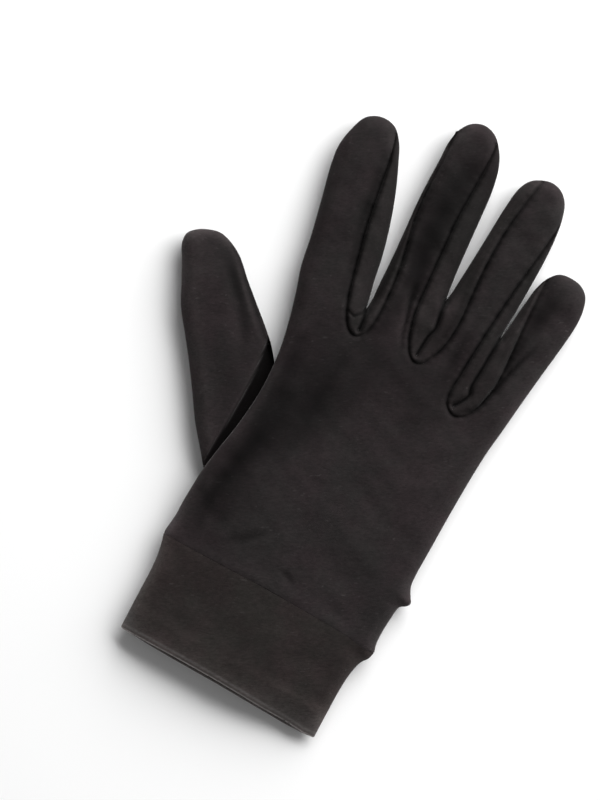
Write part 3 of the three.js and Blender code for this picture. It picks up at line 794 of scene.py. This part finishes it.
class ThumbShape(HandShape):
    """The thumb's height and tone. It is pressed down where the hand lies over it, and carries painted shade
    there, for the hand's shadow.
    """

    FOLDS = THUMB_FOLDS
    HIGHLIGHTS = THUMB_HIGHLIGHTS
    SEED = 23
    SUNK = 0.5
    PRESSED_TOP = 2.6
    CLEFT_SHADE = 0.78

    # The x of the hand's edge over the thumb, and how wide the cleft beside it is, each after its y
    HAND_EDGE = (
        (60, -48), (72, -47.4), (80, -46.3), (92, -44.2), (105, -42.9), (117, -42.8), (130, -44.3),
        (142, -47.1),
    )
    CLEFT = ((70, 1.8), (80, 3.3), (90, 4.6), (104, 5.7), (118, 6.4), (130, 6.8))
    CLEFT_SPAN = 1.7

    # The outer side starts at a place and is measured along a direction, inwards across the thumb.
    OUTER_START = (-47.4, 72)
    OUTER_DIRECTION = (0.817, 0.5765)

    def lift(self, points):
        return np.zeros(len(points))

    def pressed(self, points):
        """One under the hand, and nothing outside of the cleft."""
        hand_edge = np.interp(points[:, 1], *zip(*self.HAND_EDGE))
        width = np.interp(points[:, 1], *zip(*self.CLEFT))
        return rise(points[:, 0], hand_edge - width, self.CLEFT_SPAN)

    def heights(self, points, on_wall=False):
        top, bottom = super().heights(points, on_wall)
        lowered = np.clip(self.PRESSED_TOP, bottom, np.maximum(top, bottom))
        return top + (lowered - top) * self.pressed(points), bottom

    def painted_shade_tone(self, points, on_wall=False):
        painted_shade_tone = super().painted_shade_tone(points, on_wall)
        # Painted shadow in the cleft under the hand's edge
        return painted_shade_tone + self.CLEFT_SHADE * self.pressed(points) * (1 - painted_shade_tone)

    def beside(self, points):
        across = (points - self.OUTER_START) @ np.array(self.OUTER_DIRECTION)
        return {"edge": self.edge_distance(points), "outer side": np.maximum(across, 0)}


def to_object(points, heights):
    """Hand-frame millimetres as the model's metres."""
    return np.column_stack([points, heights]) * MM + HAND_ORIGIN


def coordinates(bm):
    return np.array([v.co[:] for v in bm.verts]).reshape(-1, 3)


def place_all(bm, positions):
    for v, co in zip(bm.verts, positions):
        v.co = co


def of_kind(geom, kind):
    return [g for g in geom if isinstance(g, kind)]


def flat_panel(polygon):
    """A flat sheet cut to the polygon: a grid, finer near its edge, whose border lies on the line.
    Close to the round edge its rows crowd together, so that the rounding is smooth."""
    low, high = polygon.min(0) - CELL, polygon.max(0) + CELL
    size = high - low
    bm = bmesh.new()
    bmesh.ops.create_grid(bm, x_segments=int(size[0] / CELL), y_segments=int(size[1] / CELL), size=0.5)
    bmesh.ops.scale(bm, vec=(size[0], size[1], 1), verts=bm.verts)
    bmesh.ops.translate(bm, vec=(*(low + size / 2), 0), verts=bm.verts)
    border = np.vstack([polygon, polygon[:1]])

    def signed():
        points = coordinates(bm)[:, :2]
        distance = nearest_on(points, border)[0]
        return np.where(is_inside(points, polygon), distance, -distance)

    depth = signed()
    bm.verts.ensure_lookup_table()
    far = [v for v, d in zip(bm.verts, depth) if d < -2 * CELL]
    kept = {v: d for v, d in zip(bm.verts, depth) if d >= -2 * CELL}
    bmesh.ops.delete(bm, geom=far, context="VERTS")
    band = [e for e in bm.edges if all(abs(kept[v]) < FINE_BAND for v in e.verts)]
    bmesh.ops.subdivide_edges(bm, edges=band, cuts=1, use_grid_fill=True)
    depth = dict(zip(bm.verts, signed()))
    outside = [f for f in bm.faces if min(depth[v] for v in f.verts) < -CUT_BEYOND * CELL]
    bmesh.ops.delete(bm, geom=outside, context="FACES")
    loose = [v for v in bm.verts if not v.link_faces]
    bmesh.ops.delete(bm, geom=loose, context="VERTS")

    rim = [v for v in bm.verts if v.is_boundary]
    onto = nearest_on(np.array([v.co[:2] for v in rim]), border)[1]
    for v, place in zip(rim, onto):
        v.co = (place[0], place[1], 0)
    inner = [v for v in bm.verts if not v.is_boundary and depth[v] < FINE_BAND]
    for _ in range(3):
        bmesh.ops.smooth_vert(bm, verts=inner, factor=0.5, use_axis_x=True, use_axis_y=True, use_axis_z=False)

    points = coordinates(bm)[:, :2]
    distance, place, _ = nearest_on(points, border)
    share = np.where((distance > 0.01) & (distance < CROWDED), distance / CROWDED, 1)
    closer = place + (points - place) * share[:, None]
    place_all(bm, np.column_stack([closer, np.zeros(len(closer))]))
    return bm


def shaped_panel(bm, shape, open_seams=True):
    """Raises both layers of a flat sheet to the cloth's heights and joins them along the folded edge.
    Where a seam cuts the sheet, each layer's edge turns in."""
    for name in (SHADE_ATTRIBUTE, UNDERSIDE, HIGHLIGHT_ATTRIBUTE):
        bm.verts.layers.float.new(name)
    shade_layer, under, painted_light = (bm.verts.layers.float[name] for name in (SHADE_ATTRIBUTE, UNDERSIDE, HIGHLIGHT_ATTRIBUTE))
    points = coordinates(bm)[:, :2]
    top, bottom = shape.heights(points)
    for v, low, amount, pale in zip(bm.verts, bottom, shape.painted_shade_tone(points), shape.fade(points)):
        v[under] = low
        v[shade_layer] = amount
        v[painted_light] = pale
    place_all(bm, to_object(points, top))
    copy = bmesh.ops.duplicate(bm, geom=bm.verts[:] + bm.edges[:] + bm.faces[:])["geom"]
    bmesh.ops.reverse_faces(bm, faces=of_kind(copy, BMFace))
    for v in of_kind(copy, BMVert):
        v.co.z = v[under] * MM
    bm.verts.layers.float.remove(under)
    bmesh.ops.remove_doubles(bm, verts=bm.verts, dist=0.00002)
    if open_seams:
        turn_in(bm)


def turn_in(bm):
    """Turns the open edges in, as a seam allowance inside the glove."""
    made = bmesh.ops.extrude_edge_only(bm, edges=[e for e in bm.edges if e.is_boundary])
    fresh = of_kind(made["geom"], BMVert)
    shade_layer = bm.verts.layers.float[SHADE_ATTRIBUTE]
    heights = [v.co.z for v in fresh]
    middle = 0.5 * (max(heights) + min(heights))
    for v in fresh:
        # The turned-in edge is painted fully dark, as painted shade inside the glove
        v[shade_layer] = 1
        v.co.z += (-1 if v.co.z > middle else 1) * SEAM_ALLOWANCE * MM


def wall_strip(shape, seam, down, crease, up):
    """One finger wall: a strip from its upper seam round the side of the fingers to its lower seam.
    Its inner line is the seam, and its outer line runs down one finger, along the crease and up."""
    turn = int(seam[:, 1].argmin())
    rows = WALL_ROWS
    across = WALL_COLUMNS
    shared = round(rows * length_of(crease) / length_of(np.vstack([down, crease])))
    line = resample(crease, shared)
    inner = np.vstack([resample(seam[: turn + 1], rows), resample(seam[turn:], rows)[1:]])
    open_rows = rows - shared
    outer = [resample(down, open_rows), line[1:], line[::-1][1:], resample(up, open_rows)[1:]]
    outer = np.vstack(outer)
    count = len(inner)
    bm = bmesh.new()
    bmesh.ops.create_grid(bm, x_segments=count - 1, y_segments=2 * across, size=0.5)
    points = coordinates(bm)
    row = np.round((points[:, 0] + 0.5) * (count - 1)).astype(int)
    column = np.round((points[:, 1] + 0.5) * 2 * across).astype(int)
    share = 0.5 - 0.5 * np.cos(math.pi * np.minimum(column, 2 * across - column) / across)[:, None]
    flat = inner[row] + (outer[row] - inner[row]) * share
    top, bottom = shape.heights(flat, on_wall=True)
    height = np.where(column <= across, top, bottom)
    in_the_open = np.isclose(share[:, 0], 1) & (np.abs(row - rows) >= shared)
    height = np.where(in_the_open, 0.5 * (top + bottom), height)
    shade_layer = bm.verts.layers.float.new(SHADE_ATTRIBUTE)
    # Painted shade on the walls' down sides by the open gaps, and painted light on their up sides
    gap_shade_and_light = np.where(row < rows, *GAP_SHADE_AND_LIGHT) * bell(shape.edge_distance(flat), GAP_REACH)
    for v, amount in zip(bm.verts, 1 - (1 - shape.painted_shade_tone(flat, on_wall=True)) * (1 - gap_shade_and_light)):
        v[shade_layer] = amount
    place_all(bm, to_object(flat, height))
    bm.verts.ensure_lookup_table()
    ends = [bm.verts[k] for k in np.flatnonzero((row == 0) | (row == count - 1))]
    bmesh.ops.remove_doubles(bm, verts=ends, dist=0.00001)
    turn_in(bm)
    bmesh.ops.recalc_face_normals(bm, faces=bm.faces)
    return bm


def add_object(name, data):
    thing = bpy.data.objects.new(name, data)
    bpy.context.scene.collection.objects.link(thing)
    return thing


def finish_piece(bm, name, material, node):
    """Makes the mesh a smooth piece that replaces its node of the model."""
    mesh = bpy.data.meshes.new(name)
    bm.to_mesh(mesh)
    bm.free()
    mesh.polygons.foreach_set("use_smooth", [True] * len(mesh.polygons))
    mesh.update()
    mesh.materials.append(material)
    piece = add_object(name, mesh)
    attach(piece, ROOT_BODY)
    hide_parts(node)


class Lines:
    """The outline, the seams and the cut of every panel, worked out once from the tables."""

    # The outline runs on this far below the hem, so that the hem doesn't count as a round edge.
    BELOW_HEM = 24

    def __init__(self):
        fingers = [spline(run) for run in (INDEX_RUN, MIDDLE_RUN, RING_RUN, LITTLE_RUN)]
        self.creases = [spline(run, CREASE_STEP) for run in CREASES]
        self.cuff_left = spline(CUFF_LEFT)
        self.cuff_right = spline(CUFF_RIGHT)
        self.cuff_seam = spline(CUFF_SEAM)
        self.thumb_edge = spline(THUMB_RUN)
        self.thumb_seam = spline(THUMB_SEAM)
        self.seams = {}
        self.wall_edges = {}
        cut = []
        start = fingers[0][0]
        for name, before, after, crease in zip(WALL_SEAMS, fingers, fingers[1:], self.creases):
            seam = spline(WALL_SEAMS[name])
            seam[0] = nearest_on(seam[:1], before)[1][0]
            seam[-1] = nearest_on(seam[-1:], after)[1][0]
            down = cut_line(before, seam[0], before[-1])
            up = cut_line(after, after[0], seam[-1])
            self.seams[name] = seam
            self.wall_edges[name] = (down, crease, up)
            cut += [cut_line(before, start, seam[0]), seam]
            start = seam[-1]
        little = fingers[-1]
        cut += [cut_line(little, start, little[-1]), self.cuff_seam[::-1]]
        self.panel = np.vstack([line[:-1] for line in cut])
        left_end, right_end = (side[-1] - (0, self.BELOW_HEM) for side in (self.cuff_left, self.cuff_right))
        outer = [line[1:] for line in (*fingers, self.cuff_right)]
        self.edge = np.vstack([left_end, self.cuff_left[::-1], *outer, right_end])


BUILT = {}


def lines():
    """The one set of lines, worked out when it is first asked for."""
    if "lines" not in BUILT:
        BUILT["lines"] = Lines()
    return BUILT["lines"]


def hand_shape():
    """The one shape of the hand, which its walls and its cuff share."""
    if "hand" not in BUILT:
        here = lines()
        seams = [(seam, 1.0) for seam in here.seams.values()] + [(here.cuff_seam, CUFF_SEAM_STRENGTH)]
        BUILT["hand"] = HandShape(bpy.context.scene.glove_form, here.edge, seams, here.creases)
    return BUILT["hand"]


class Tree:
    """Short ways to add nodes to a node tree."""

    def __init__(self, tree):
        self.tree = tree
        self.column = 0

    def add(self, kind, **settings):
        node = self.tree.nodes.new(kind)
        node.location = (180 * (self.column % 9), -220 * (self.column // 9))
        self.column += 1
        for name, value in settings.items():
            setattr(node, name, value)
        return node

    def join(self, source, target):
        if isinstance(source, (int, float, tuple)):
            target.default_value = source
        else:
            self.tree.links.new(source, target)

    def math(self, operation, *values, clamp=False):
        node = self.add("ShaderNodeMath", operation=operation, use_clamp=clamp)
        for socket, value in zip(node.inputs, values):
            self.join(value, socket)
        return node.outputs[0]

    def fill(self, node, values):
        """Gives a node's sockets, by name or number, a value or another node's output."""
        for name, value in values.items():
            self.join(value, node.inputs[name])
        return node

    def group(self, name, build, values):
        """A use of the shared group of this name, which is built the first time."""
        if name not in bpy.data.node_groups:
            build(name)
        return self.fill(self.add("ShaderNodeGroup", node_tree=bpy.data.node_groups[name]), values)

    def carried(self, name):
        """A value that the cloth's vertices carry."""
        return self.add("ShaderNodeAttribute", attribute_type="GEOMETRY", attribute_name=name).outputs["Fac"]

    def mapped(self, turn=0.0, stretch=1.0):
        """The object's own places, turned, with the pattern stretched along the turned x."""
        place = self.add("ShaderNodeTexCoord").outputs["Object"]
        mapping = self.add("ShaderNodeMapping", vector_type="TEXTURE")
        self.fill(mapping, {"Vector": place, "Rotation": (0, 0, turn), "Scale": (stretch, 1, 1)})
        return mapping.outputs["Vector"]

    def noise(self, where, scale, detail, roughness=0.6):
        values = {"Vector": where, "Scale": scale, "Detail": detail, "Roughness": roughness}
        return self.fill(self.add("ShaderNodeTexNoise"), values).outputs["Fac"]

    def swing(self, first, second):
        """Two noises added up, round zero."""
        return self.math("ADD", self.math("SUBTRACT", first, 0.5), self.math("SUBTRACT", second, 0.5))

    def ramp(self, value, low, high, out_low=0.0, out_high=1.0):
        values = {"Value": value, "From Min": low, "From Max": high, "To Min": out_low, "To Max": out_high}
        return self.fill(self.add("ShaderNodeMapRange", clamp=True), values).outputs["Result"]

    def mix(self, share, first, second):
        node = self.add("ShaderNodeMix", data_type="RGBA")
        return self.fill(node, {0: share, 6: first, 7: second}).outputs[2]

    def scaled(self, colour, amount):
        node = self.add("ShaderNodeVectorMath", operation="SCALE")
        return self.fill(node, {0: colour, "Scale": amount}).outputs["Vector"]


def new_group(name, inputs, outputs):
    """A node group of number sockets: its tree, the inputs that it is given and its results."""
    group = bpy.data.node_groups.new(name, "ShaderNodeTree")
    for label, value in inputs.items():
        socket = group.interface.new_socket(name=label, in_out="INPUT", socket_type="NodeSocketFloat")
        socket.default_value = value
    for label in outputs:
        group.interface.new_socket(name=label, in_out="OUTPUT", socket_type="NodeSocketFloat")
    tree = Tree(group)
    return tree, tree.add("NodeGroupInput").outputs, tree.add("NodeGroupOutput").inputs


def knit_group(name):
    """Height and tone of the fine brushed knit: courses, wales and loose fibres."""
    tree, given, result = new_group(name, {"Spacing": 2300.0, "Fuzz": 0.3}, ("Tone", "Height"))
    straight = tree.mapped()
    course = tree.noise(tree.mapped(COURSE_TURN, 3.4), 1900, 2, 0.65)
    fibre = tree.noise(tree.mapped(COURSE_TURN, 2.2), 900, 3, 0.7)
    mottle = tree.noise(straight, 260, 3, 0.6)
    wave = tree.add("ShaderNodeTexWave", wave_type="BANDS", bands_direction="X", wave_profile="SIN")
    tree.fill(wave, {"Vector": straight, "Scale": given["Spacing"], "Distortion": 1.6, "Detail": 1.5})
    grain = tree.math("MULTIPLY", tree.swing(course, fibre), given["Fuzz"])
    tree.join(tree.math("ADD", grain, 1.0), result["Tone"])
    relief = tree.math("MULTIPLY", wave.outputs["Fac"], 0.25)
    for layer, weight in ((fibre, 1.0), (course, 0.7), (mottle, 1.1)):
        relief = tree.math("MULTIPLY_ADD", layer, weight, relief)
    tree.join(relief, result["Height"])


def nap_group(name):
    """Slow unevenness of the brushed nap, over the hand and over a fingertip's breadth."""
    tree, given, result = new_group(name, {"Amount": 1.0}, ("Tone", "Warmth"))
    straight = tree.mapped()
    tree.join(tree.ramp(tree.noise(tree.mapped(1.1), 55, 3), 0.36, 0.64), result["Warmth"])
    both = tree.swing(tree.noise(straight, 30, 3, 0.55), tree.noise(straight, 105, 3, 0.6))
    tree.join(tree.math("MULTIPLY_ADD", both, given["Amount"], 1.0), result["Tone"])


def lint_group(name):
    """A mask of the pale flecks in the cloth: short loose fibres and pilled specks."""
    tree, given, result = new_group(name, {"Amount": 0.5}, ("Mask",))
    dash = tree.ramp(tree.noise(tree.mapped(COURSE_TURN, 3.0), 1150, 1, 0.4), 0.66, 0.8)
    patch = tree.ramp(tree.noise(tree.mapped(0.3), 70, 2), 0.36, 0.66)
    pill = tree.add("ShaderNodeTexVoronoi", feature="F1")
    tree.fill(pill, {"Vector": tree.mapped(0.9, 1.5), "Scale": 360})
    parts = tree.fill(tree.add("ShaderNodeSeparateColor"), {"Color": pill.outputs["Color"]})
    spot = tree.ramp(pill.outputs["Distance"], 0.16, 0.05)
    spot = tree.math("MULTIPLY", spot, tree.ramp(parts.outputs["Red"], 0.86, 0.98))
    dash = tree.math("MULTIPLY", tree.math("MULTIPLY", dash, patch), 0.5)
    flecks = tree.math("MAXIMUM", dash, tree.math("MULTIPLY", spot, 0.6))
    tree.join(tree.math("MULTIPLY", flecks, given["Amount"], clamp=True), result["Mask"])


def jersey_material(name, colour):
    """The brushed jersey in one colour, with its knit, its uneven nap, its pale flecks, and its painted shade
    and painted highlight.
    """
    material = bpy.data.materials.new(name)
    material.use_nodes = True
    material.node_tree.nodes.clear()
    tree = Tree(material.node_tree)
    spacing = 1 / (bpy.context.scene.glove_cloth.wale_spacing * MM)
    knit = tree.group("fine_knit", knit_group, {"Spacing": spacing, "Fuzz": KNIT_FUZZ})
    nap = tree.group("uneven_nap", nap_group, {"Amount": NAP_AMOUNT})
    flecks = tree.group("pale_flecks", lint_group, {"Amount": FLECK_AMOUNT})
    painted_light = tree.carried(HIGHLIGHT_ATTRIBUTE)
    # The painted shade and the painted highlight darken and lighten the colour
    lit = tree.ramp(tree.carried(SHADE_ATTRIBUTE), LIGHTEST, 1.0, *LIT_RANGE)
    lit = tree.math("MULTIPLY", lit, tree.math("MULTIPLY_ADD", painted_light, HIGHLIGHT_GAIN, 1.0))
    level = tree.math("MULTIPLY", tree.math("MULTIPLY", knit.outputs["Tone"], nap.outputs["Tone"]), lit)
    tinted = {kind: (*(c * t for c, t in zip(colour, tint)), 1) for kind, tint in TINTS.items()}
    hue = tree.mix(nap.outputs["Warmth"], tinted["cooler"], tinted["warmer"])
    # Where the painted highlight is strong, the colour turns to the highlight's plainer tint
    hue = tree.mix(tree.ramp(painted_light, *PLAIN_RANGE), hue, tinted["painted_light"])
    speckle = tree.math("MULTIPLY", flecks.outputs["Mask"], lit)
    bump = tree.add("ShaderNodeBump")
    tree.fill(bump, {"Strength": 0.5, "Distance": 0.00012, "Height": knit.outputs["Height"]})
    shader = tree.add("ShaderNodeBsdfPrincipled")
    values = {
        "Base Color": tree.mix(speckle, tree.scaled(hue, level), FLECK_COLOUR),
        "Roughness": tree.ramp(knit.outputs["Tone"], 0.6, 1.4, 0.8, 0.95),
        "Normal": bump.outputs["Normal"],
        "Specular IOR Level": 0.08,
        "Sheen Weight": 0.24,
        "Sheen Roughness": 0.3,
        "Sheen Tint": SHEEN_TINT,
    }
    tree.fill(shader, values)
    tree.fill(tree.add("ShaderNodeOutputMaterial"), {"Surface": shader.outputs["BSDF"]})
    return material


class GLOVE_OT_hand_panel(Operator):
    """The one-piece hand: its back and palm with the finger flaps"""

    bl_idname = "glove.hand_panel"
    bl_label = "Hand Panel"

    def execute(self, context):
        bm = flat_panel(lines().panel)
        shaped_panel(bm, hand_shape())
        material = jersey_material("hand_jersey", context.scene.glove_cloth.hand_colour)
        finish_piece(bm, "hand_cloth", material, "hand_panel")
        return {"FINISHED"}


class GLOVE_OT_finger_walls(Operator):
    """The three walls between the fingers"""

    bl_idname = "glove.finger_walls"
    bl_label = "Finger Walls"

    def execute(self, context):
        here = lines()
        material = jersey_material("wall_jersey", context.scene.glove_cloth.wall_colour)
        for name, seam in here.seams.items():
            bm = wall_strip(hand_shape(), seam, *here.wall_edges[name])
            finish_piece(bm, "finger_wall_" + name, material, "fourchette_" + name)
        return {"FINISHED"}


class GLOVE_OT_thumb(Operator):
    """The thumb, which lies out from under the hand"""

    bl_idname = "glove.thumb"
    bl_label = "Thumb"

    def execute(self, context):
        here = lines()
        seams = [(here.thumb_seam, THUMB_SEAM_STRENGTH)]
        shape = ThumbShape(context.scene.glove_form, here.thumb_edge, seams)
        bm = flat_panel(here.thumb_edge[:-1])
        shaped_panel(bm, shape, open_seams=False)
        material = jersey_material("thumb_jersey", context.scene.glove_cloth.hand_colour)
        finish_piece(bm, "thumb_cloth", material, "thumb")
        return {"FINISHED"}


class GLOVE_OT_cuff(Operator):
    """The folded band at the wrist, open at the hem"""

    bl_idname = "glove.cuff"
    bl_label = "Cuff Band"

    # Rows down the band, which crowd towards its hem, round the fold there and up inside, and steps from
    # one side to the other, of which a share is spread evenly
    ROWS = 54
    FOLD_ROWS = 10
    INNER_ROWS = 20
    SIDE = 90
    CROWDING = 1.35
    SIDE_SPREAD = 0.6

    # The band's length, its half widths at the seam and the hem, its gap to the seam, and the least half
    # height that stays open inside
    LENGTH = 42.0
    SEAM_HALF_WIDTH = 47.8
    SEAM_MIDDLE_X = -0.4
    HEM_HALF_WIDTH = 44
    SEAM_GAP = 0.12
    LEAST_ROOM = 0.12

    # The hem's line in its upper and in its lower layer, as x and y
    HEM_UPPER = (
        (-45, 0.5), (-30, 0.5), (-20, 0.65), (0, 0.6), (10, 0.3), (20, -0.1), (30, -0.2), (38, -0.5),
        (43, -0.5),
    )
    HEM_LOWER = (
        (-45, 0.1), (-30, -0.4), (-20, -0.6), (0, -0.7), (10, -0.9), (20, -1.1), (30, -1.3), (39, -1.3),
        (43, -0.6),
    )

    # Painted highlights along the hem: how much, how far from the edge, and their reach. The shade lies on the
    # band's first rows, at the cuff seam, and comes in over its span of x.
    UPPER_LINES = ((2.4, 1.8, 0.5), (13.0, 0.15, 0.34))
    LOWER_LINES = ((4.0, 0.0, 1.0),)
    SEAM_SHADE = 0.14
    SEAM_SHADE_SPAN = (-15, 30)

    def execute(self, context):
        wall = context.scene.glove_form.band_thickness
        bm = bmesh.new()
        bm.verts.layers.float.new(SHADE_ATTRIBUTE)
        bm.verts.layers.float.new(HIGHLIGHT_ATTRIBUTE)
        levels = self.levels(wall)
        rings = [bmesh.ops.create_circle(bm, cap_ends=False, segments=2 * self.SIDE, radius=1)["verts"]]
        edges = bm.edges[:]
        for _ in levels[1:]:
            made = bmesh.ops.extrude_edge_only(bm, edges=edges)["geom"]
            edges = of_kind(made, BMEdge)
            fresh = set(of_kind(made, BMVert))
            rings.append([self.made_from(v, fresh) for v in rings[-1]])
        steps = np.arange(2 * self.SIDE)
        on_top = steps < self.SIDE
        across = -np.cos(np.pi * np.where(on_top, steps, 2 * self.SIDE - steps) / self.SIDE)
        across = blend(np.sin(0.5 * np.pi * across), across, self.SIDE_SPREAD, 0, 1)
        shares, depths = (np.repeat(column, len(steps)) for column in zip(*levels))
        across, on_top = (np.tile(column, len(levels)) for column in (across, on_top))
        values = self.places(shares, depths, across, on_top, wall)
        shade_layer, painted_light = (bm.verts.layers.float[name] for name in (SHADE_ATTRIBUTE, HIGHLIGHT_ATTRIBUTE))
        for v, co, amount, pale in zip((v for ring in rings for v in ring), *values):
            v.co = co
            v[shade_layer] = amount
            v[painted_light] = pale
        bmesh.ops.recalc_face_normals(bm, faces=bm.faces)
        material = jersey_material("cuff_jersey", context.scene.glove_cloth.cuff_colour)
        finish_piece(bm, "cuff_cloth", material, "cuff_band")
        return {"FINISHED"}

    def made_from(self, v, fresh):
        """The fresh vertex that the extrusion made from this one."""
        return next(e.other_vert(v) for e in v.link_edges if e.other_vert(v) in fresh)

    def levels(self, wall):
        """Rows from the seam down to the hem, round its fold and up inside.
        Each is its share of the length and its depth inwards."""
        fold = wall / 2 / self.LENGTH
        rows = [(-0.2 / self.LENGTH, SEAM_ALLOWANCE), (0, 0), (0.1 / self.LENGTH, 0)]
        for k in range(1, self.ROWS + 1):
            rows.append(((1 - (1 - k / self.ROWS) ** self.CROWDING) * (1 - fold), 0))
        for k in range(1, self.FOLD_ROWS + 1):
            turn = math.pi * k / self.FOLD_ROWS
            rows.append((1 - fold * (1 - math.sin(turn)), wall / 2 * (1 - math.cos(turn))))
        for k in range(1, self.INNER_ROWS):
            rows.append(((1 - fold) * (1 - k / self.INNER_ROWS), wall))
        return rows

    def places(self, share, depth, across, on_top, wall):
        """Where each vertex of the band goes, and its painted shade and painted highlight."""
        here = lines()
        shape = hand_shape()
        seam_x = across * self.SEAM_HALF_WIDTH + self.SEAM_MIDDLE_X
        seam_y = np.interp(seam_x, *here.cuff_seam.T) - self.SEAM_GAP
        upper = np.interp(across * self.HEM_HALF_WIDTH, *zip(*self.HEM_UPPER))
        lower = np.interp(across * self.HEM_HALF_WIDTH, *zip(*self.HEM_LOWER))
        side = np.minimum(1, 4 * (1 - np.abs(across)))
        hem = np.where(on_top, upper, lower) * side + 0.5 * (upper + lower) * (1 - side)
        y = seam_y + (hem - seam_y) * share
        left, right = (np.interp(-y, -line[:, 1], line[:, 0]) for line in (here.cuff_left, here.cuff_right))
        centre, half = 0.5 * (left + right), 0.5 * (right - left)
        points = np.column_stack([centre + half * across, y])
        top, bottom = shape.heights(points)
        middle = 0.5 * (top + bottom)
        end = np.abs(np.abs(across) - 1) < 1e-6
        above = np.where(end, 0, np.where(on_top, top, bottom) - middle)
        z = middle + np.sign(above) * np.maximum(np.abs(above) - depth, self.LEAST_ROOM)
        x = centre + np.clip(half * across, depth - half, half - depth)
        # The band's inner layer, away from the hem, is painted dark, as painted shade inside the glove
        inside = np.where(share < 0.95, np.minimum(1, depth / wall), 0)
        seam_shade = self.SEAM_SHADE * rise(x, *self.SEAM_SHADE_SPAN)
        inside = np.maximum(inside, np.where(share < 0.001, seam_shade, 0))
        line_highlights = []
        for table in (self.UPPER_LINES, self.LOWER_LINES):
            line_highlights.append(sum(amount * bell(y - hem - place, reach) for amount, place, reach in table))
        pale = np.where(on_top, np.where(depth <= wall / 2, line_highlights[0], 0), line_highlights[1])
        positions = to_object(np.column_stack([x, y]), z)
        return positions, np.maximum(shape.painted_shade_tone(points), inside), shape.fade(points) + pale


class GLOVE_OT_stage(Operator):
    """The pale floor, the soft light and the camera straight above"""

    bl_idname = "glove.stage"
    bl_label = "Stage"

    VIEW_CENTRE = (-27.1, 114.6)
    VIEW_UP = (-0.489, 0.872)
    VIEW_HEIGHT = 320.0
    CAMERA_HEIGHT = 3.0
    SENSOR = 36.0
    FLOOR_SIZE = 3.0
    FLOOR_DROP = 0.0002
    PAPER = {"Base Color": (0.9, 0.9, 0.9, 1), "Roughness": 0.95, "Specular IOR Level": 0.1}
    HORIZON_BLEND = 0.2
    KEY_SIZE = (3.2, 1.5)
    KEY_PLACE = (0.60, 1.84, 1.02)

    def execute(self, context):
        self.add_floor()
        self.add_camera(context.scene)
        self.add_world(context.scene)
        self.add_key(context.scene)
        return {"FINISHED"}

    def add_floor(self):
        bm = bmesh.new()
        bmesh.ops.create_grid(bm, x_segments=1, y_segments=1, size=self.FLOOR_SIZE / 2)
        bmesh.ops.translate(bm, vec=(0, 0, -self.FLOOR_DROP), verts=bm.verts)
        mesh = bpy.data.meshes.new("floor")
        bm.to_mesh(mesh)
        bm.free()
        paper = bpy.data.materials.new("white_paper")
        paper.use_nodes = True
        Tree(paper.node_tree).fill(paper.node_tree.nodes["Principled BSDF"], self.PAPER)
        mesh.materials.append(paper)
        floor = add_object("floor", mesh)

    def add_camera(self, scene):
        data = bpy.data.cameras.new("camera")
        data.sensor_fit = "VERTICAL"
        data.sensor_height = self.SENSOR
        data.lens = self.SENSOR * self.CAMERA_HEIGHT / (self.VIEW_HEIGHT * MM)
        data.clip_end = 20
        camera = add_object("camera", data)
        centre = np.array([*self.VIEW_CENTRE, 0]) * MM + HAND_ORIGIN
        camera.location = (centre[0], centre[1], self.CAMERA_HEIGHT)
        camera.rotation_euler = (0, 0, math.atan2(-self.VIEW_UP[0], self.VIEW_UP[1]))
        scene.camera = camera

    def add_world(self, scene):
        """Light from all round, strong from low down and weak from overhead."""
        world = bpy.data.worlds.new("studio")
        world.use_nodes = True
        tree = Tree(world.node_tree)
        place = tree.add("ShaderNodeTexCoord").outputs["Generated"]
        parts = tree.fill(tree.add("ShaderNodeSeparateXYZ"), {"Vector": place})
        look = scene.stage_look
        strength = tree.ramp(parts.outputs["Z"], 0.0, self.HORIZON_BLEND, look.low_fill, look.high_fill)
        tree.fill(world.node_tree.nodes["Background"], {"Color": (1, 1, 1, 1), "Strength": strength})
        scene.world = world

    def add_key(self, scene):
        data = bpy.data.lights.new("key", "AREA")
        data.shape = "RECTANGLE"
        data.size, data.size_y = self.KEY_SIZE
        data.energy = scene.stage_look.key_energy
        key = add_object("key", data)
        key.location = self.KEY_PLACE
        key.rotation_euler = key.location.normalized().to_track_quat("Z", "Y").to_euler()
        scene.view_settings.view_transform = "Standard"
        scene.view_settings.exposure = 0.0


class GLOVE_PT_sidebar(Panel):
    """Lists the glove's pieces and its settings"""

    bl_idname = "GLOVE_PT_sidebar"
    bl_label = "Running Glove"
    bl_space_type = "VIEW_3D"
    bl_region_type = "UI"
    bl_category = "Glove"

    def draw(self, context):
        for operator in OPERATORS:
            self.layout.operator(operator.bl_idname)
        for settings in (context.scene.glove_form, context.scene.glove_cloth, context.scene.stage_look):
            box = self.layout.box()
            for name in settings.__annotations__:
                box.prop(settings, name)


GROUPS = {"glove_form": GloveForm, "glove_cloth": GloveCloth, "stage_look": StageLook}
OPERATORS = (GLOVE_OT_stage, GLOVE_OT_hand_panel, GLOVE_OT_finger_walls, GLOVE_OT_thumb, GLOVE_OT_cuff)
CLASSES = (*GROUPS.values(), *OPERATORS, GLOVE_PT_sidebar)


def register():
    for cls in CLASSES:
        bpy.utils.register_class(cls)
    for name, group in GROUPS.items():
        setattr(bpy.types.Scene, name, PointerProperty(type=group))


def unregister():
    for name in GROUPS:
        delattr(bpy.types.Scene, name)
    for cls in reversed(CLASSES):
        bpy.utils.unregister_class(cls)


def main():
    register()
    bpy.ops.glove.stage()
    bpy.ops.glove.hand_panel()
    bpy.ops.glove.finger_walls()
    bpy.ops.glove.thumb()
    bpy.ops.glove.cuff()


if __name__ == "__main__":
    main()
